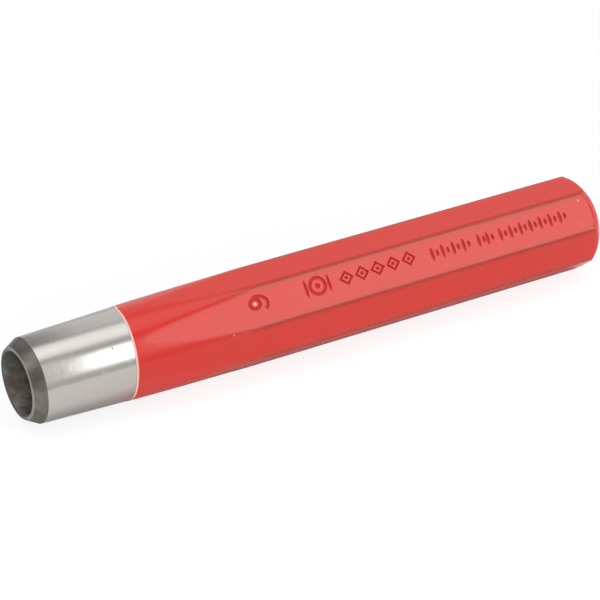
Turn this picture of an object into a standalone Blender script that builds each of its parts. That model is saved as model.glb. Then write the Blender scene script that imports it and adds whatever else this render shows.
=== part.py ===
"""A drive hole punch: a hollow steel punch that a hammer drives through leather.

The axis of the tool lies along X, with the cutting edge at -X and the struck end at +X. The tool lies on
one of its flats, with the origin under its middle. Distances along it are measured from the cutting edge.
"""

import math

import bmesh
import bpy

MM = 0.001

# Driving dimensions. The land is the flat ring at the cutting edge, between the bore and the bevel.
BORE_DIAMETER = 9.0 * MM
LENGTH = 90.3 * MM
ACROSS_FLATS = 13.0 * MM
ACROSS_DIAGONAL_FLATS = 12.82 * MM
LAND = 0.45 * MM
BEVEL_LENGTH = 1.7 * MM
BEVEL_HEIGHT = 1.02 * MM
TAPER_SLOPE = 0.0305
PAINT_LINE = 14.9 * MM
COAT = 0.3 * MM
GAP = 0.3 * MM
BORE_DEPTH = 40.0 * MM
DRILL_POINT_ANGLE = math.radians(118)

# The struck end is rounded by one arc, from the corners to the flat face.
END_ARC_RADIUS = 5.3 * MM
END_ARC_FROM = math.radians(28)
END_ARC_TO = math.radians(66)
END_CORNER_RADIUS = 7.05 * MM

# The window for the slugs is the cut of a disc that plunges in from the back.
WINDOW_DISC_RADIUS = 14.0 * MM
WINDOW_WIDTH = 8.0 * MM
WINDOW_MIDDLE = 34.8 * MM
WINDOW_FLOOR = -2.0 * MM

TURN_STEPS = 64
ARC_STEPS = 8
WINDOW_STEPS = 72
CLEAR_OF_CORNERS = 0.6 * MM
OVERCUT = 2.0 * MM
MERGE_DISTANCE = 0.001 * MM
SMOOTH_BELOW = math.radians(25)

RIM_RADIUS = BORE_DIAMETER / 2 + LAND
BEVEL_RADIUS = RIM_RADIUS + BEVEL_HEIGHT
HEAD_END = PAINT_LINE - GAP


def taper_radius(distance):
    """Radius of the cone that runs from the bevel back into the octagon."""
    return BEVEL_RADIUS + TAPER_SLOPE * (distance - BEVEL_LENGTH)


def taper_distance(radius):
    return BEVEL_LENGTH + (radius - BEVEL_RADIUS) / TAPER_SLOPE


def new_collection(name):
    collection = bpy.data.collections.new(name)
    bpy.context.scene.collection.children.link(collection)
    return collection


def new_material(name, color, metallic, roughness):
    material = bpy.data.materials.new(name)
    material.use_nodes = True
    shader = material.node_tree.nodes["Principled BSDF"]
    shader.inputs["Base Color"].default_value = (*color, 1.0)
    shader.inputs["Metallic"].default_value = metallic
    shader.inputs["Roughness"].default_value = roughness
    return material


def hide_cutter(obj):
    obj.hide_render = True
    obj.display_type = "WIRE"


def add_object(name, mesh, collection, axis):
    """Links a mesh under the empty that carries the tool's axis, whose +Z points to the struck end."""
    obj = bpy.data.objects.new(name, mesh)
    collection.objects.link(obj)
    obj.parent = axis
    return obj


def add_turned(name, profile, closed, collection, axis):
    """Turns a profile of (radius, distance from the cutting edge) points about the axis of the tool."""
    mesh = bpy.data.meshes.new(name)
    shape = bmesh.new()
    points = [shape.verts.new((radius, 0, distance - LENGTH / 2)) for radius, distance in profile]
    pairs = list(zip(points, points[1:]))
    if closed:
        pairs.append((points[-1], points[0]))
    for pair in pairs:
        shape.edges.new(pair)
    shape.to_mesh(mesh)
    shape.free()
    obj = add_object(name, mesh, collection, axis)
    screw = obj.modifiers.new("turn", "SCREW")
    screw.steps = TURN_STEPS
    screw.render_steps = TURN_STEPS
    screw.use_merge_vertices = True
    screw.merge_threshold = MERGE_DISTANCE
    screw.use_normal_calculate = False
    return obj


def add_boolean(obj, operation, cutter):
    modifier = obj.modifiers.new(f"{operation.lower()}_{cutter.name}", "BOOLEAN")
    modifier.operation = operation
    modifier.object = cutter
    modifier.solver = "EXACT"


def add_square_bar(name, across, turn, cutters, axis):
    """Adds a long square bar along the axis. Two of them, crossed at 45 degrees, leave the octagon."""
    mesh = bpy.data.meshes.new(name)
    shape = bmesh.new()
    bmesh.ops.create_cube(shape, size=1.0)
    bmesh.ops.scale(shape, vec=(across, across, 2 * LENGTH), verts=shape.verts)
    shape.to_mesh(mesh)
    shape.free()
    bar = add_object(name, mesh, cutters, axis)
    bar.rotation_euler = (0, 0, turn)
    hide_cutter(bar)
    return bar


def struck_end_profile(inset):
    """Points of the rounded struck end, from its face out to the corners, moved in by the inset."""
    middle_radius = END_CORNER_RADIUS - END_ARC_RADIUS * math.cos(END_ARC_FROM)
    middle_distance = LENGTH - END_ARC_RADIUS * math.sin(END_ARC_TO)
    radius = END_ARC_RADIUS - inset
    points = []
    for step in range(ARC_STEPS + 1):
        angle = END_ARC_TO + (END_ARC_FROM - END_ARC_TO) * step / ARC_STEPS
        points.append((middle_radius + radius * math.cos(angle), middle_distance + radius * math.sin(angle)))
    return points


def bar_profile(inset, front, bore):
    """Profile of the bar behind its front, moved in by the inset. It starts at the struck face's middle."""
    end = struck_end_profile(inset)
    widest = END_CORNER_RADIUS + CLEAR_OF_CORNERS
    slope_of_end = math.tan(END_ARC_FROM)
    last_radius, last_distance = end[-1]
    profile = [(0, end[0][1]), *end]
    profile.append((widest, last_distance - (widest - last_radius) / slope_of_end))
    profile.append((widest, taper_distance(widest + inset)))
    profile.append((taper_radius(front) - inset, front))
    if bore:
        drill_point = BORE_DIAMETER / 2 / math.tan(DRILL_POINT_ANGLE / 2)
        profile.append((BORE_DIAMETER / 2, front))
        profile.append((BORE_DIAMETER / 2, BORE_DEPTH))
        profile.append((0, BORE_DEPTH + drill_point))
    else:
        profile.append((0, front))
    return profile


def add_bar(name, inset, front, bore, collection, cutters, axis):
    """Adds the tapered octagonal bar: a turned blank, cut down by two crossed square bars."""
    bar = add_turned(name, bar_profile(inset, front, bore), False, collection, axis)
    square = add_square_bar(f"{name}_flats", ACROSS_FLATS - 2 * inset, 0, cutters, axis)
    diagonal = add_square_bar(
        f"{name}_diagonal_flats", ACROSS_DIAGONAL_FLATS - 2 * inset, math.pi / 4, cutters, axis
    )
    add_boolean(bar, "INTERSECT", square)
    add_boolean(bar, "INTERSECT", diagonal)
    return bar


def add_window_disc(cutters, axis):
    """Adds the disc that cuts the window. The disc stands upright across the tool, at the back."""
    mesh = bpy.data.meshes.new("window_disc")
    shape = bmesh.new()
    bmesh.ops.create_cone(
        shape,
        cap_ends=True,
        segments=WINDOW_STEPS,
        radius1=WINDOW_DISC_RADIUS,
        radius2=WINDOW_DISC_RADIUS,
        depth=WINDOW_WIDTH,
    )
    shape.to_mesh(mesh)
    shape.free()
    disc = add_object("window_disc", mesh, cutters, axis)
    disc.location = (0, WINDOW_FLOOR + WINDOW_DISC_RADIUS, WINDOW_MIDDLE - LENGTH / 2)
    disc.rotation_euler = (0, math.pi / 2, 0)
    hide_cutter(disc)
    return disc


def add_cutting_head(parts, axis):
    bore_radius = BORE_DIAMETER / 2
    profile = [
        (taper_radius(HEAD_END), HEAD_END),
        (BEVEL_RADIUS, BEVEL_LENGTH),
        (RIM_RADIUS, 0),
        (bore_radius, 0),
        (bore_radius, HEAD_END),
    ]
    head = add_turned("cutting_head", profile, True, parts, axis)
    head.data.materials.append(new_material("ground_steel", (0.62, 0.60, 0.57), 1.0, 0.28))
    return head


def add_shank(window_disc, parts, cutters, axis):
    shank = add_bar("shank", COAT + GAP, PAINT_LINE, True, parts, cutters, axis)
    add_boolean(shank, "DIFFERENCE", window_disc)
    shank.data.materials.append(new_material("forged_steel", (0.20, 0.19, 0.18), 1.0, 0.5))
    return shank


def add_lacquer_coat(window_disc, parts, cutters, axis):
    coat = add_bar("lacquer_coat", 0, PAINT_LINE, False, parts, cutters, axis)
    core = add_bar("coat_core", COAT, PAINT_LINE - OVERCUT, False, cutters, cutters, axis)
    hide_cutter(core)
    add_boolean(coat, "DIFFERENCE", window_disc)
    add_boolean(coat, "DIFFERENCE", core)
    coat.data.materials.append(new_material("red_lacquer", (0.62, 0.045, 0.04), 0.0, 0.3))
    return coat


def finish_mesh(obj):
    """Applies the modifiers, joins the split points and shades the round faces smooth."""
    graph = bpy.context.evaluated_depsgraph_get()
    mesh = bpy.data.meshes.new_from_object(obj.evaluated_get(graph))
    shape = bmesh.new()
    shape.from_mesh(mesh)
    bmesh.ops.remove_doubles(shape, verts=shape.verts, dist=MERGE_DISTANCE)
    bmesh.ops.dissolve_degenerate(shape, edges=shape.edges, dist=MERGE_DISTANCE)
    shape.to_mesh(mesh)
    shape.free()
    obj.modifiers.clear()
    obj.data = mesh
    mesh.shade_smooth()
    mesh.set_sharp_from_angle(angle=SMOOTH_BELOW)


def main():
    for obj in list(bpy.data.objects):
        bpy.data.objects.remove(obj, do_unlink=True)
    parts = new_collection("drive_hole_punch")
    cutters = new_collection("cutters")
    axis = bpy.data.objects.new("tool_axis", None)
    axis.location = (0, 0, ACROSS_FLATS / 2)
    axis.rotation_euler = (0, math.pi / 2, 0)
    parts.objects.link(axis)
    window_disc = add_window_disc(cutters, axis)
    pieces = [
        add_cutting_head(parts, axis),
        add_shank(window_disc, parts, cutters, axis),
        add_lacquer_coat(window_disc, parts, cutters, axis),
    ]
    bpy.context.view_layer.update()
    for piece in pieces:
        finish_mesh(piece)


main()
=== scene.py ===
import math

import bmesh
import bpy
from mathutils import Matrix, Vector


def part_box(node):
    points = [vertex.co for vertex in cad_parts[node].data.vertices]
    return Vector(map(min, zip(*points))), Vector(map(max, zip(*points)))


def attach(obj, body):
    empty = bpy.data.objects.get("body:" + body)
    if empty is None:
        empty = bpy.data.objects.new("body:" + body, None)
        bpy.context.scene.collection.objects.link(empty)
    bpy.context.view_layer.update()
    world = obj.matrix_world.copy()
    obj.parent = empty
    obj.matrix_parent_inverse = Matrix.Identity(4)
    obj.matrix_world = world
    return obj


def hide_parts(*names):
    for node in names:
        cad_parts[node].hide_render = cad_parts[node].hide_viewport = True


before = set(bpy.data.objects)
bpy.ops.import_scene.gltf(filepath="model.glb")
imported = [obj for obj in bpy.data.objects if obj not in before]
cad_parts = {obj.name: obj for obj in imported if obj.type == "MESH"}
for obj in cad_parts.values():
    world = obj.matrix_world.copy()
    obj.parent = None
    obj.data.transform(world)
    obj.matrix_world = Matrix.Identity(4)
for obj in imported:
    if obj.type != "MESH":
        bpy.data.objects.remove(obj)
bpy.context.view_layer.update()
mm = 0.001

# The tool lies along x. "along" is the distance from the cutting edge, "turn" the angle round the axis
# from +y (the window's side) over the top.
coatLow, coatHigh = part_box("lacquer_coat")
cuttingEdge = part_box("cutting_head")[0].x
length = coatHigh.x - cuttingEdge
axisHeight = (coatLow.z + coatHigh.z) / 2
halfFlats = (coatHigh.z - coatLow.z) / 2


def deselectAll():
    if bpy.context.mode != "OBJECT":
        bpy.ops.object.mode_set(mode="OBJECT")
    bpy.ops.object.select_all(action="DESELECT")


def startEditing(piece):
    deselectAll()
    bpy.context.view_layer.objects.active = piece
    piece.select_set(True)
    bpy.ops.object.mode_set(mode="EDIT")


def stopEditing():
    bpy.ops.object.mode_set(mode="OBJECT")


def newPiece(name):
    piece = bpy.context.object
    piece.name = name
    piece.data.name = name
    bpy.ops.object.transform_apply(location=True, rotation=True, scale=True)
    return piece


def selectWhere(kind, wanted):
    shape = bmesh.from_edit_mesh(bpy.context.object.data)
    bpy.ops.mesh.select_all(action="DESELECT")
    for part in getattr(shape, kind):
        if wanted(part):
            part.select_set(True)
    shape.select_flush_mode()
    bmesh.update_edit_mesh(bpy.context.object.data)


def applyModifier(piece, kind, **settings):
    deselectAll()
    bpy.context.view_layer.objects.active = piece
    piece.select_set(True)
    modifier = piece.modifiers.new(kind.lower(), kind)
    for setting, value in settings.items():
        setattr(modifier, setting, value)
    bpy.ops.object.modifier_apply(modifier=modifier.name)


def sliceAll(point, normal, **settings):
    # the default threshold is 0.1 mm, which is coarse for a tool of this size
    bpy.ops.mesh.select_all(action="SELECT")
    bpy.ops.mesh.bisect(plane_co=point, plane_no=normal, threshold=0.0001 * mm, **settings)


def cutAway(piece, tool):
    applyModifier(piece, "BOOLEAN", operation="DIFFERENCE", object=tool, solver="EXACT")
    bpy.data.objects.remove(tool, do_unlink=True)


def turnOnLathe(name, profile, sides, hollow=False):
    # profile is a list of (along, radius). A hollow one comes back to where it starts.
    along, radius = profile[0]
    deselectAll()
    bpy.ops.mesh.primitive_circle_add(
        vertices=sides,
        radius=radius,
        location=(cuttingEdge + along, 0, axisHeight),
        rotation=(0, math.pi / 2, 0),
    )
    piece = newPiece(name)
    startEditing(piece)
    bpy.ops.mesh.select_all(action="SELECT")
    for nextAlong, nextRadius in profile[1:]:
        bpy.ops.mesh.extrude_region_move(TRANSFORM_OT_translate={"value": (nextAlong - along, 0, 0)})
        widen = nextRadius / radius
        bpy.ops.transform.resize(
            value=(1, widen, widen), center_override=(cuttingEdge + nextAlong, 0, axisHeight)
        )
        along, radius = nextAlong, nextRadius
    bpy.ops.mesh.select_all(action="SELECT")
    if hollow:
        bpy.ops.mesh.remove_doubles(threshold=0.0005 * mm)
    else:
        bpy.ops.mesh.fill_holes(sides=0)
    bpy.ops.mesh.normals_make_consistent(inside=False)
    stopEditing()
    return piece


def finishPiece(piece, slotName, replaced, smoothBelow, *finishes):
    deselectAll()
    bpy.context.view_layer.objects.active = piece
    piece.select_set(True)
    bpy.ops.object.shade_smooth_by_angle(angle=math.radians(smoothBelow))
    for finish in finishes:
        piece.data.materials.append(finish)
    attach(piece, "root")
    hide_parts(replaced)


class Wire:
    # an output socket whose arithmetic adds Math nodes
    def __init__(self, finish, socket):
        self.finish = finish
        self.socket = socket

    def __add__(self, other):
        return self.finish.maths("ADD", self, other)

    def __radd__(self, other):
        return self.finish.maths("ADD", other, self)

    def __sub__(self, other):
        return self.finish.maths("SUBTRACT", self, other)

    def __rsub__(self, other):
        return self.finish.maths("SUBTRACT", other, self)

    def __mul__(self, other):
        return self.finish.maths("MULTIPLY", self, other)

    def __rmul__(self, other):
        return self.finish.maths("MULTIPLY", other, self)

    def __truediv__(self, other):
        return self.finish.maths("DIVIDE", self, other)

    def __rtruediv__(self, other):
        return self.finish.maths("DIVIDE", other, self)

    def __pow__(self, other):
        return self.finish.maths("POWER", self, other)

    def __rpow__(self, other):
        return self.finish.maths("POWER", other, self)


class Finish:
    def __init__(self, tree):
        self.tree = tree
        tree.nodes.clear()

    def node(self, kind, settings=None, sockets=None, output=0):
        made = self.tree.nodes.new(kind)
        for setting, value in (settings or {}).items():
            if setting == "stops":
                self.setStops(made.color_ramp, value)
            else:
                setattr(made, setting, value)
        for socket, value in (sockets or {}).items():
            if isinstance(value, Wire):
                self.tree.links.new(value.socket, made.inputs[socket])
            else:
                made.inputs[socket].default_value = value
        return Wire(self, made.outputs[output]) if made.outputs else made

    def setStops(self, ramp, stops):
        while len(ramp.elements) < len(stops):
            ramp.elements.new(1.0)
        for element, (place, value) in zip(ramp.elements, stops):
            element.position = place
            element.color = (*value, 1) if isinstance(value, tuple) else (value, value, value, 1)

    def maths(self, operation, *values):
        return self.node("ShaderNodeMath", {"operation": operation}, dict(enumerate(values)))

    def blend(self, share, first, second):
        colours = [(*colour, 1) if isinstance(colour, tuple) else colour for colour in (first, second)]
        sockets = {"Factor": share, "A": colours[0], "B": colours[1]}
        return self.node("ShaderNodeMix", {"data_type": "RGBA"}, sockets, output=2)

    def ease(self, value, start, end):
        # 0 at start, 1 at end, with soft ends
        return self.node(
            "ShaderNodeMapRange",
            {"interpolation_type": "SMOOTHSTEP"},
            {"Value": value, "From Min": start, "From Max": end},
        )

    def noise(self, vector, scale, detail=2.0, roughness=0.5):
        return self.node(
            "ShaderNodeTexNoise",
            sockets={"Vector": vector, "Scale": scale, "Detail": detail, "Roughness": roughness},
        )

    def vector(self, x, y, z):
        return self.node("ShaderNodeCombineXYZ", sockets={"X": x, "Y": y, "Z": z})


class Coating(Finish):
    # a material, with the place on the tool ready to use
    def __init__(self, name):
        self.material = bpy.data.materials.new(name)
        self.material.use_nodes = True
        super().__init__(self.material.node_tree)
        self.place = self.node("ShaderNodeTexCoord", output="Object")
        x = self.node("ShaderNodeSeparateXYZ", sockets={"Vector": self.place}, output="X")
        y = self.node("ShaderNodeSeparateXYZ", sockets={"Vector": self.place}, output="Y")
        z = self.node("ShaderNodeSeparateXYZ", sockets={"Vector": self.place}, output="Z")
        self.along = x - cuttingEdge
        self.side = y
        self.height = z - axisHeight
        self.radius = (self.side**2 + self.height**2) ** 0.5
        self.turn = self.maths("ARCTAN2", self.height, self.side)

    def spot(self, along, turn, radius, softness):
        # a round mark on the surface: its place in mm and degrees, its radius and soft edge in mm
        ahead = self.along / mm - along
        aside = (self.turn - math.radians(turn)) * self.radius / mm
        return self.ease((ahead**2 + aside**2) ** 0.5, radius + softness / 2, radius - softness / 2)

    def bump(self, height, depth, strength=1.0):
        # depth is the real height of the relief, in metres
        return self.node(
            "ShaderNodeBump", sockets={"Height": height, "Distance": depth, "Strength": strength}
        )

    def shade(self, **sockets):
        shader = self.node(
            "ShaderNodeBsdfPrincipled",
            sockets={name.replace("_", " "): value for name, value in sockets.items()},
        )
        self.node("ShaderNodeOutputMaterial", sockets={"Surface": shader})
        return self.material


head = {
    "boreRadius": 4.5 * mm,
    "land": 0.45 * mm,
    "bevelLength": 1.7 * mm,
    "bevelRadius": 5.97 * mm,
    "taperSlope": 0.0305,
    "lacquerStep": 0.05 * mm,  # how far the lacquer stands proud of the steel
    "edgeRounding": 0.05 * mm,
    "end": 17.2 * mm,  # it runs on under the lacquer's front
    "sides": 256,
    "smoothBelow": 25,  # degrees
}

groundSteel = {
    "colour": (0.55, 0.53, 0.50),
    "shadeColour": (0.505, 0.485, 0.455),
    "hazeColour": (0.66, 0.64, 0.60),
    "passColour": (0.36, 0.345, 0.32),  # the marks of single passes of the grinding wheel
    "pitColour": (0.12, 0.11, 0.10),
    "roughness": 0.15,
    "lineSpacing": 0.03 * mm,
    "lineDepth": 0.0025 * mm,
    "passSpacing": 0.22 * mm,
    # small pits: distance from the cutting edge, degrees round the axis, radius in mm
    "pits": [
        (5.25, 89.9, 0.10),
        (11.78, 133.3, 0.11),
        (8.9, -159, 0.09),
        (6.3, -42, 0.10),
        (10.6, 24, 0.08),
    ],
}


def taperRadius(along, proud=0.0):
    return head["bevelRadius"] + head["taperSlope"] * (along - head["bevelLength"]) + proud


def paintGroundSteel():
    steel = Coating("groundSteel")
    lines = steel.noise(
        steel.vector(steel.along / groundSteel["lineSpacing"], steel.turn * 4, 0), 1.0, 1.0, 0.5
    )
    passes = steel.noise(
        steel.vector(steel.along / groundSteel["passSpacing"], steel.turn * 2.5, 0), 1.0, 2.0, 0.6
    )
    mottle = steel.noise(steel.place, 1150, 3.0, 0.62)
    smears = steel.noise(steel.vector(steel.along * 420, steel.turn * 9, 3), 1.0, 3.0, 0.6)
    pits = 0.0
    for along, turn, radius in groundSteel["pits"]:
        pits = steel.spot(along, turn, radius, radius) + pits
    colour = steel.blend(smears, groundSteel["shadeColour"], groundSteel["colour"])
    colour = steel.blend(steel.ease(mottle, 0.62, 0.78) * 0.5, colour, groundSteel["hazeColour"])
    colour = steel.blend(steel.ease(passes, 0.66, 0.80) * 0.28, colour, groundSteel["passColour"])
    colour = steel.blend(pits * 0.75, colour, groundSteel["pitColour"])
    rough = groundSteel["roughness"] + (mottle - 0.5) * 0.14 + (passes - 0.5) * 0.08 + pits * 0.3
    return steel.shade(
        Base_Color=colour,
        Metallic=1.0,
        Roughness=rough,
        Normal=steel.bump(lines * (0.6 + mottle * 0.8), groundSteel["lineDepth"]),
    )


temperedSteel = {
    "colour": (0.15, 0.143, 0.122),
    "lightColour": (0.225, 0.215, 0.188),
    "honedColour": (0.42, 0.41, 0.38),  # the land's upper front side, where it was honed last
    "landShadeColour": (0.085, 0.082, 0.076),  # painted shade: the land's lower back side, painted dark as if unlit
    "roughness": 0.33,
    "lineDepth": 0.002 * mm,
}


def paintTemperedSteel():
    steel = Coating("temperedBevelSteel")
    lines = steel.noise(steel.vector(steel.along * 16000, steel.turn * 4, 0), 1.0, 2.0)
    cloud = steel.noise(steel.vector(steel.along * 300, steel.turn * 2.2, 0), 1.0, 3.0)
    grain = steel.noise(steel.place, 2400, 3.0, 0.6)
    clouded = steel.ease(cloud * 0.7 + grain * 0.3, 0.38, 0.66)
    colour = steel.blend(clouded, temperedSteel["colour"], temperedSteel["lightColour"])
    honed = steel.ease(steel.along, 0.09 * mm, 0.02 * mm)
    # painted light and shade: the land is light on its upper front side and dark on its lower back side,
    # by which way it faces
    landLitSide = steel.ease(steel.height * 0.7 - steel.side, -4 * mm, 2 * mm)
    land = steel.blend(landLitSide, temperedSteel["landShadeColour"], temperedSteel["honedColour"])
    colour = steel.blend(honed * 0.9, colour, land)
    return steel.shade(
        Base_Color=colour,
        Metallic=1.0,
        Roughness=temperedSteel["roughness"] + (grain - 0.5) * 0.2,
        Normal=steel.bump(lines, temperedSteel["lineDepth"]),
    )


boreSteel = {
    "colour": (0.30, 0.285, 0.255),
    "lightColour": (0.50, 0.48, 0.44),
    "roughness": 0.46,
    "drillDepth": 0.014 * mm,  # of the rings that the drill left
    "redReflection": (0.6, -31.0, 0.9),  # place and radius of a painted red reflection in the bore's mouth, in mm and degrees
    # painted reflection: the red tint of that patch
    "redReflectionColour": (0.34, 0.05, 0.04),
}


def paintBoreSteel():
    steel = Coating("drilledBoreSteel")
    rings = steel.noise(steel.vector(steel.along * 4200, steel.turn * 1.5, 0), 1.0, 4.0, 0.7)
    patches = steel.noise(steel.place, 900, 5.0, 0.65)
    along, turn, radius = boreSteel["redReflection"]
    # painted reflection: a red patch in the bore's mouth, tinted into the steel's colour
    redReflectionMask = steel.spot(along, turn, radius, radius) * steel.ease(patches, 0.36, 0.62)
    colour = steel.blend(steel.ease(patches, 0.35, 0.70), boreSteel["colour"], boreSteel["lightColour"])
    colour = steel.blend(redReflectionMask * 0.5, colour, boreSteel["redReflectionColour"])
    return steel.shade(
        Base_Color=colour,
        Metallic=1.0,
        Roughness=boreSteel["roughness"] + (patches - 0.5) * 0.4,
        Normal=steel.bump(rings + patches, boreSteel["drillDepth"]),
    )


def buildHead():
    bore = head["boreRadius"]
    step = head["lacquerStep"]
    profile = [
        (0, bore),
        (0, bore + head["land"]),
        (head["bevelLength"], head["bevelRadius"] - step),
        (head["end"], taperRadius(head["end"], -step)),
        (head["end"], bore),
        (0, bore),
    ]
    piece = turnOnLathe("groundCuttingHead", profile, head["sides"], hollow=True)
    applyModifier(
        piece,
        "BEVEL",
        width=head["edgeRounding"],
        segments=3,
        limit_method="ANGLE",
        angle_limit=math.radians(20),
    )
    finishPiece(
        piece,
        "ground_steel",
        "cutting_head",
        head["smoothBelow"],
        paintGroundSteel(),
        paintTemperedSteel(),
        paintBoreSteel(),
    )
    bevelEnd = cuttingEdge + head["bevelLength"]
    for face in piece.data.polygons:
        middle = face.center - Vector((0, 0, axisHeight))
        reach = math.hypot(middle.y, middle.z)
        if reach < 1.002 * bore:
            face.material_index = 2
        elif middle.x < bevelEnd:
            face.material_index = 1
    print("head turned:", len(piece.data.polygons), "faces")
    return piece


bar = {
    "diagonalHalfFlats": 6.41 * mm,
    "cornerRounding": 0.17 * mm,
    "front": 13.0 * mm,
    "planesRound": 72,
    "taperCuts": (13.5, 36.0, 0.5),  # from, to and spacing, in mm from the cutting edge
    "middleCuts": (40.0, 84.0, 4.0),
    "endCuts": (85.5, 90.0, 0.45),
    "faceRings": 5,
    "faceRingWidth": 0.42 * mm,
    "endArcRadius": 5.3 * mm,
    "endArcFrom": math.radians(28),
    "endArcTo": math.radians(66),
    "endCornerRadius": 7.05 * mm,
    "endArcSteps": 24,
    "blankStart": 8.0 * mm,
    "blankRadius": 7.614 * mm,  # clear of the corners
    "smoothBelow": 32,  # degrees
}


def lathedBlank(inset):
    arcMiddle = bar["endCornerRadius"] - bar["endArcRadius"] * math.cos(bar["endArcFrom"])
    arcAlong = length - bar["endArcRadius"] * math.sin(bar["endArcTo"])
    reach = bar["endArcRadius"] - inset
    widest = bar["blankRadius"]
    turningAlong = head["bevelLength"] + (widest + inset - head["bevelRadius"]) / head["taperSlope"]
    profile = [(bar["blankStart"], taperRadius(bar["blankStart"], -inset)), (turningAlong, widest)]
    arc = []
    for step in range(bar["endArcSteps"] + 1):
        angle = bar["endArcFrom"] + (bar["endArcTo"] - bar["endArcFrom"]) * step / bar["endArcSteps"]
        arc.append((arcAlong + reach * math.sin(angle), arcMiddle + reach * math.cos(angle)))
    startAlong, startRadius = arc[0]
    slope = math.tan(bar["endArcFrom"])
    profile.append((startAlong - (widest - startRadius) / slope, widest))
    return turnOnLathe("lathedBlank", profile + arc, head["sides"])


def octagonBar(name, inset):
    front = cuttingEdge + bar["front"]
    end = cuttingEdge + length - inset
    across = 2 * (halfFlats - inset)
    deselectAll()
    bpy.ops.mesh.primitive_cube_add(
        size=1, location=((front + end) / 2, 0, axisHeight), scale=(end - front, across, across)
    )
    piece = newPiece(name)
    startEditing(piece)
    reach = (bar["diagonalHalfFlats"] - inset) * math.sqrt(0.5)
    for side in (-1, 1):
        for up in (-1, 1):
            corner = (0, side * reach, axisHeight + up * reach)
            sliceAll(corner, (0, side, up), use_fill=True, clear_outer=True)
    selectWhere("edges", lambda edge: abs(edge.verts[0].co.x - edge.verts[1].co.x) > length / 2)
    bpy.ops.mesh.bevel(offset=bar["cornerRounding"], segments=4, affect="EDGES")
    selectWhere("faces", lambda face: face.normal.x > 0.9)
    for ring in range(bar["faceRings"]):
        bpy.ops.mesh.inset(thickness=0)
        shrink = 1 - bar["faceRingWidth"] / (halfFlats - ring * bar["faceRingWidth"])
        bpy.ops.transform.resize(value=(1, shrink, shrink), center_override=(end, 0, axisHeight))
    return piece


def forgedBar(name, inset):
    piece = octagonBar(name, inset)
    for start, end, spacing in (bar["taperCuts"], bar["middleCuts"], bar["endCuts"]):
        for cut in range(round((end - start) / spacing) + 1):
            sliceAll((cuttingEdge + (start + cut * spacing) * mm, 0, 0), (1, 0, 0))
    for plane in range(bar["planesRound"]):
        angle = math.pi * (plane + 0.5) / bar["planesRound"]
        sliceAll((0, 0, axisHeight), (0, -math.sin(angle), math.cos(angle)))
    stopEditing()
    blank = lathedBlank(inset)
    applyModifier(
        piece,
        "SHRINKWRAP",
        target=blank,
        wrap_method="NEAREST_SURFACEPOINT",
        wrap_mode="INSIDE",
    )
    bpy.data.objects.remove(blank, do_unlink=True)
    return piece


window = {
    "discRadius": 14.0 * mm,
    "width": 8.0 * mm,
    "middle": 34.8 * mm,
    "floor": -2.0 * mm,
    "boreEnd": 40.0 * mm,
    "drillPoint": math.radians(118),
    "discSides": 160,
    "drillSides": 128,
}


def millingDisc():
    deselectAll()
    bpy.ops.mesh.primitive_cylinder_add(
        vertices=window["discSides"],
        radius=window["discRadius"],
        depth=window["width"],
        location=(cuttingEdge + window["middle"], window["floor"] + window["discRadius"], axisHeight),
    )
    return newPiece("millingDisc")


stamps = {
    # all places and sizes in mm, along the tool and across the flat, downwards
    "depth": 0.25,
    "lift": 0.031 * mm,  # keeps the widest part of each tool clear of the surface
    "digitLoop": (33.30, -0.53, 0.72),
    "digitScale": (1.06, 0.94),
    "digitTail": [(33.15, -1.34), (34.0, -1.75), (35.55, -1.30), (35.55, 0.0), (34.7, 0.42)],
    "holeMark": (43.1, -0.55, 1.16),
    "holeDot": (0.8, 0.8),
    "holeBars": (41.3, 44.9),
    "barSize": (0.46, 2.6),
    "diamonds": (47.65, 57.75, 5, -0.5, -0.66),  # first, last and count, then across at each end
    "diamondSize": (0.93, 0.86),
    "diamondDot": (0.55, 0.5),
    "tallies": [(61.55, 4, 1.74), (69.3, 2, 1.45), (72.95, 7, 1.69)],  # start, count and spacing
    "tallyAcross": -0.32,
    "longTally": (0.56, 1.98),
    "shortTally": (0.84, 0.52, 0.95),  # how far ahead, and its size
}


def onFlat(along, across, lift=0.0):
    # a place on the flat that faces up and to the front; across grows downwards
    reach = bar["diagonalHalfFlats"] + lift
    half = math.sqrt(0.5)
    return (
        cuttingEdge + along,
        -half * (reach + across),
        axisHeight + half * (reach - across),
    )


def placeOnFlat(piece, along, across, scale=(1, 1, 1)):
    piece.rotation_euler = (math.pi / 4, 0, 0)
    piece.location = onFlat(along, across, stamps["lift"])
    piece.scale = scale
    bpy.ops.object.transform_apply(location=True, rotation=True, scale=True)


def stampRing(along, across, radius, corners=40, scale=(1, 1)):
    deselectAll()
    bpy.ops.mesh.primitive_torus_add(
        major_radius=radius * mm,
        minor_radius=stamps["depth"] * mm,
        major_segments=corners,
        minor_segments=12,
    )
    ring = bpy.context.object
    placeOnFlat(ring, along * mm, across * mm, scale=(*scale, 1))
    return ring


def stampStroke(along, across, width, height):
    deselectAll()
    bpy.ops.mesh.primitive_uv_sphere_add(segments=16, ring_count=8, radius=0.5 * mm)
    stroke = bpy.context.object
    placeOnFlat(stroke, along * mm, across * mm, scale=(width, height, 2 * stamps["depth"]))
    return stroke


def stampTail(points):
    deselectAll()
    bpy.ops.curve.primitive_nurbs_path_add()
    tail = bpy.context.object
    startAlong, startAcross = points[0]
    for handle, (along, across) in zip(tail.data.splines[0].points, points):
        handle.co = ((along - startAlong) * mm, (startAcross - across) * mm, 0, 1)
    tail.data.bevel_depth = stamps["depth"] * mm
    tail.data.bevel_resolution = 3
    tail.data.use_fill_caps = True
    bpy.ops.object.convert(target="MESH")
    tail = bpy.context.object
    startEditing(tail)
    bpy.ops.mesh.select_all(action="SELECT")
    bpy.ops.mesh.remove_doubles(threshold=0.001 * mm)
    bpy.ops.mesh.normals_make_consistent(inside=False)
    stopEditing()
    placeOnFlat(tail, startAlong * mm, startAcross * mm)
    return tail


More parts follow.
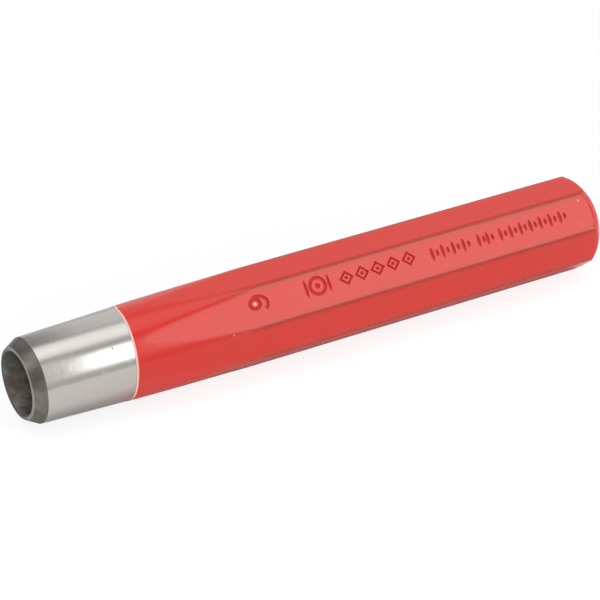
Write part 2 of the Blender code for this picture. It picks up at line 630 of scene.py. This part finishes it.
def buildStamps():
    digit = stampRing(*stamps["digitLoop"], scale=stamps["digitScale"])
    tools = [digit]

    along, across, radius = stamps["holeMark"]
    tools.append(stampRing(along, across, radius))
    tools.append(stampStroke(along, across, *stamps["holeDot"]))
    for along in stamps["holeBars"]:
        tools.append(stampStroke(along, across, *stamps["barSize"]))

    start, end, count, acrossStart, acrossEnd = stamps["diamonds"]
    for mark in range(count):
        share = mark / (count - 1)
        along = start + (end - start) * share
        across = acrossStart + (acrossEnd - acrossStart) * share
        tools.append(stampRing(along, across, 1, corners=4, scale=stamps["diamondSize"]))
        tools.append(stampStroke(along, across, *stamps["diamondDot"]))

    ahead, *shortTally = stamps["shortTally"]
    across = stamps["tallyAcross"]
    for start, count, spacing in stamps["tallies"]:
        for mark in range(count):
            along = start + mark * spacing
            tools.append(stampStroke(along, across, *stamps["longTally"]))
            tools.append(stampStroke(along + ahead, across, *shortTally))

    deselectAll()
    for tool in tools:
        tool.select_set(True)
    bpy.context.view_layer.objects.active = digit
    bpy.ops.object.join()
    return digit


lacquer = {
    "thickness": 0.3 * mm,
    # two planes that the lacquer ends at: mm along at the axis, and mm further at the back and at the top
    "edges": [(14.87, 0.51, 0.233), (14.45, 1.90, 0.36)],
    "smoothing": 6,
    "smoothed": (31.5, 35.5),  # the smoothing fades out between these, in mm along
    "colour": (0.715, 0.0235, 0.0105),
    "deepColour": (0.66, 0.0195, 0.009),
    "wornColour": (0.31, 0.042, 0.017),
    "fadedColour": (0.41, 0.085, 0.046),
    # painted highlight: the pale colour of the lacquer's thin lip at the paint line
    "lipGlintColour": (0.90, 0.68, 0.60),
    # painted shade: the darker red given to the stamped recesses, as if in shade
    "stampShadeColour": (0.58, 0.012, 0.007),
    "dustColour": (0.25, 0.02, 0.015),
    "chipColour": (0.72, 0.52, 0.44),
    "dingColour": (0.16, 0.03, 0.02),
    "roughness": 0.15,
    "peelDepth": 0.0014 * mm,
    "worn": (6.916 * mm, 6.944 * mm),  # radii that the wear on the corners starts and is full at
    "faded": (6.60 * mm, 6.98 * mm),
    "lip": (0.36, 0.20),  # mm from the paint line where the pale lip ends and is full: thin lacquer over the steel, with a painted highlight
    # marks from use: distance from the cutting edge, degrees round the axis, radius in mm
    "chips": [(86.9, 118.7, 0.13), (28.9, 158.5, 0.10), (33.35, 130.6, 0.24)],
    "dings": [(86.57, 140.2, 0.14), (18.1, 165.8, 0.09), (52.0, 176.0, 0.08), (70.0, 96.0, 0.08)],
}


def edgePlanes():
    # each as a point on it and its normal, which points to the struck end
    planes = []
    for along, back, top in lacquer["edges"]:
        slope = mm / taperRadius(along * mm)
        point = Vector((cuttingEdge + along * mm, 0, axisHeight))
        planes.append((point, Vector((1, -back * slope, -top * slope)).normalized()))
    return planes


def paintLacquer():
    red = Coating("redLacquer")
    cloud = red.noise(red.place, 230, 4.0, 0.6)
    peel = red.noise(red.place, 1500, 2.0, 0.5)
    dust = red.ease(red.noise(red.place, 1500, 1.0), 0.76, 0.84)
    ragged = (red.noise(red.vector(red.along * 900, red.turn * 12, 0), 1.0, 4.0, 0.65) - 0.5) * 0.05 * mm
    wear = red.ease(red.radius + ragged, *lacquer["worn"])
    faded = red.ease(red.radius, *lacquer["faded"])
    # the stamped flat: how far a place lies out from the axis, towards that flat
    outward = (red.height - red.side) * math.sqrt(0.5)
    onStampedFlat = red.ease(outward, 6.38 * mm, 6.405 * mm)
    overMiddle = red.ease(red.height + red.side, 0.4 * mm, 3.9 * mm)
    # painted shade: the stamped recesses are coloured darker, as if in shade; they are also rougher
    shadedRecess = red.ease(outward, 6.385 * mm, 6.25 * mm) * red.ease(outward, 5.869 * mm, 6.152 * mm)
    shadedRecess = shadedRecess * red.ease(red.along, 31.5 * mm, 32 * mm)
    beyondEdge = None
    for along, back, top in lacquer["edges"]:
        across = (red.side * back + red.height * top) / taperRadius(along * mm)
        beyond = red.along / mm - along - across
        beyondEdge = beyond if beyondEdge is None else red.maths("MINIMUM", beyondEdge, beyond)
    chips = dings = 0.0
    for along, turn, radius in lacquer["chips"]:
        chips = red.spot(along, turn, radius, radius * 0.6) + chips
    for along, turn, radius in lacquer["dings"]:
        dings = red.spot(along, turn, radius, radius * 0.6) + dings
    colour = red.blend(cloud, lacquer["deepColour"], lacquer["colour"])
    colour = red.blend(faded * (0.34 + onStampedFlat * overMiddle * 0.2), colour, lacquer["fadedColour"])
    colour = red.blend(wear * 0.8, colour, lacquer["wornColour"])
    colour = red.blend(shadedRecess * 0.8, colour, lacquer["stampShadeColour"])
    # painted highlight: a pale band along the lacquer's front edge, where the thin lip lies over the steel
    colour = red.blend(red.ease(beyondEdge, *lacquer["lip"]) * 0.85, colour, lacquer["lipGlintColour"])
    colour = red.blend(dust * 0.3, colour, lacquer["dustColour"])
    colour = red.blend(chips * 0.9, colour, lacquer["chipColour"])
    colour = red.blend(dings * 0.8, colour, lacquer["dingColour"])
    return red.shade(
        Base_Color=colour,
        Roughness=lacquer["roughness"] + (cloud - 0.5) * 0.08 + wear * 0.3 + shadedRecess * 0.3 + faded * 0.08,
        Normal=red.bump(peel - (chips + dings) * 4, lacquer["peelDepth"]),
    )


def softenTaper(piece):
    start, end = lacquer["smoothed"]
    group = piece.vertex_groups.new(name="taper")
    for vertex in piece.data.vertices:
        along = (vertex.co.x - cuttingEdge) / mm
        weight = min(1, max(0, (end - along) / (end - start)))
        if weight > 0:
            group.add([vertex.index], weight, "REPLACE")
    applyModifier(piece, "SMOOTH", factor=0.5, iterations=lacquer["smoothing"], vertex_group="taper")
    piece.vertex_groups.clear()


def buildLacquer():
    piece = forgedBar("redLacquerCoat", 0)
    softenTaper(piece)
    startEditing(piece)
    for point, normal in edgePlanes():
        sliceAll(point, normal, clear_inner=True)
    stopEditing()
    applyModifier(piece, "SOLIDIFY", thickness=lacquer["thickness"], offset=-1)
    # the ground cone lies under the lacquer's front
    seat = [(along, taperRadius(along, -head["lacquerStep"])) for along in (12 * mm, head["end"])]
    cutAway(piece, turnOnLathe("seat", seat, head["sides"]))
    cutAway(piece, millingDisc())
    cutAway(piece, stampTail(stamps["digitTail"]))
    cutAway(piece, buildStamps())
    finishPiece(piece, "red_lacquer", "lacquer_coat", bar["smoothBelow"], paintLacquer())
    print("lacquer coated:", len(piece.data.polygons), "faces")
    return piece


shankSteel = {
    "colour": (0.20, 0.19, 0.175),
    "lightColour": (0.34, 0.325, 0.30),
    "roughness": 0.38,
    "millingDepth": 0.006 * mm,
    "clearance": 0.01 * mm,  # under the lacquer
    "behindHead": 0.02 * mm,
}


def paintShankSteel():
    steel = Coating("milledShankSteel")
    arcs = steel.noise(steel.vector(steel.along * 2500, steel.side * 700, steel.height * 200), 1.0, 3.0)
    stains = steel.noise(steel.place, 420, 5.0, 0.65)
    colour = steel.blend(stains, shankSteel["colour"], shankSteel["lightColour"])
    return steel.shade(
        Base_Color=colour,
        Metallic=1.0,
        Roughness=shankSteel["roughness"] + (stains - 0.5) * 0.3,
        Normal=steel.bump(arcs, shankSteel["millingDepth"]),
    )


def buildShank():
    inset = lacquer["thickness"] + shankSteel["clearance"]
    piece = forgedBar("forgedShank", inset)
    startEditing(piece)
    start = (cuttingEdge + head["end"] + shankSteel["behindHead"], 0, 0)
    sliceAll(start, (1, 0, 0), use_fill=True, clear_inner=True)
    stopEditing()
    bore = head["boreRadius"]
    point = bore / math.tan(window["drillPoint"] / 2)
    drill = turnOnLathe(
        "drill",
        [(10 * mm, bore), (window["boreEnd"], bore), (window["boreEnd"] + 0.98 * point, 0.02 * bore)],
        window["drillSides"],
    )
    cutAway(piece, drill)
    cutAway(piece, millingDisc())
    finishPiece(piece, "forged_steel", "shank", bar["smoothBelow"], paintShankSteel())
    print("shank milled:", len(piece.data.polygons), "faces")
    return piece


studio = {
    "floorSize": 6.0,
    # the floor's paper: how light it is in front of the tool, behind it and under it; the darker values
    # behind and under it are painted shadow of the tool
    "paper": (0.98, 0.64, 0.90),
    # where those meet, in mm across: front to back, front to under, and back to under
    "paperMeets": [(-4, 12), (-9, -4.5), (9, 5)],
    "paperUnder": [(-3, 3), (93.3, 90.3)],  # in mm along
    "paperGlow": 0.75,  # how much of the paper glows by itself for the camera, so that it stays pale
    "paperLight": 1.12,
    # brightness of the tent against the angle over the tool, as shares of half a turn from back to front
    "tent": [
        (0.00, 0.36),
        (0.315, 0.36),
        (0.385, 1.38),
        (0.46, 1.56),
        (0.53, 1.42),
        (0.59, 0.66),
        (0.65, 0.58),
        (0.90, 0.55),
        (0.93, 0.68),
        (1.0, 0.68),
    ],
    # soft panels: from and to in degrees over the tool, softness, from and to along it, softness, strength
    "panels": [
        (114, 165, 6, 0.00, 0.335, 0.03, 0.35),
        (121, 161, 8, 0.345, 0.63, 0.03, 2.45),
        (-20, 58, 8, 0.325, 0.66, 0.06, 0.55),
        (18, 60, 8, -0.30, 0.12, 0.06, 0.50),
        (60, 175, 10, 0.80, 1.10, 0.06, 1.5),
    ],
}


def hangTent():
    world = bpy.data.worlds.new("softTent")
    bpy.context.scene.world = world
    world.use_nodes = True
    tent = Finish(world.node_tree)
    direction = tent.node("ShaderNodeTexCoord", output="Generated")
    x = tent.node("ShaderNodeSeparateXYZ", sockets={"Vector": direction}, output="X")
    y = tent.node("ShaderNodeSeparateXYZ", sockets={"Vector": direction}, output="Y")
    z = tent.node("ShaderNodeSeparateXYZ", sockets={"Vector": direction}, output="Z")
    over = tent.maths("ARCTAN2", z, y) * (180 / math.pi)
    brightness = tent.node("ShaderNodeValToRGB", {"stops": studio["tent"]}, {"Fac": over / 180})
    for low, high, soft, xLow, xHigh, xSoft, strength in studio["panels"]:
        brightness = brightness + strength * (
            tent.ease(over, low - soft, low + soft)
            * tent.ease(over, high + soft, high - soft)
            * tent.ease(x, xLow - xSoft, xLow + xSoft)
            * tent.ease(x, xHigh + xSoft, xHigh - xSoft)
        )
    background = tent.node("ShaderNodeBackground", sockets={"Color": (1, 1, 1, 1), "Strength": brightness})
    tent.node("ShaderNodeOutputWorld", sockets={"Surface": background})
    print("tent hung:", len(studio["panels"]), "panels")


def layFloor():
    deselectAll()
    bpy.ops.mesh.primitive_plane_add(size=studio["floorSize"], location=(0, 0, 0))
    floor = newPiece("paleFloor")
    paper = Coating("palePaper")
    front, back, under = studio["paper"]
    across, along = paper.side / mm, paper.along / mm
    shadowBehindShare, frontUnder, backUnder = [paper.ease(across, *ends) for ends in studio["paperMeets"]]
    startUnder, endUnder = [paper.ease(along, *ends) for ends in studio["paperUnder"]]
    # painted shadow: the paper is darker behind the tool and under it, as if in its shadow
    shade = front + (back - front) * shadowBehindShare
    shade = shade + (under - shade) * frontUnder * backUnder * startUnder * endUnder
    diffuse = paper.node("ShaderNodeBsdfDiffuse", sockets={"Color": shade})
    glow = paper.node(
        "ShaderNodeEmission", sockets={"Color": (1, 1, 1, 1), "Strength": studio["paperLight"]}
    )
    seen = paper.node("ShaderNodeLightPath", output="Is Camera Ray")
    mixed = paper.node("ShaderNodeMixShader", sockets={0: seen * studio["paperGlow"], 1: diffuse, 2: glow})
    paper.node("ShaderNodeOutputMaterial", sockets={"Surface": mixed})
    floor.data.materials.append(paper.material)
    print("floor laid")


view = {
    "target": (-2.167 * mm, 0.0, 6.699 * mm),
    "distance": 383.51 * mm,
    "azimuth": math.radians(31.924),
    "elevation": math.radians(33.42),
    "roll": math.radians(2.66),
    "lens": 167.06,
}


def placeCamera():
    azimuth, elevation = view["azimuth"], view["elevation"]
    forward = Vector(
        (
            math.sin(azimuth) * math.cos(elevation),
            math.cos(azimuth) * math.cos(elevation),
            -math.sin(elevation),
        )
    )
    right = Vector((math.cos(azimuth), -math.sin(azimuth), 0))
    up = right.cross(forward)
    turned = Matrix.Rotation(-view["roll"], 3, forward)
    right, up = turned @ right, turned @ up
    deselectAll()
    bpy.ops.object.camera_add()
    camera = bpy.context.object
    camera.name = "productCamera"
    axes = Matrix((right, up, -forward)).transposed().to_4x4()
    camera.matrix_world = Matrix.Translation(Vector(view["target"]) - view["distance"] * forward) @ axes
    camera.data.lens = view["lens"]
    camera.data.clip_start = 0.01
    bpy.context.scene.camera = camera
    print("camera placed")


buildHead()
buildShank()
buildLacquer()
hangTent()
layFloor()
placeCamera()
bpy.context.scene.view_settings.view_transform = "Standard"
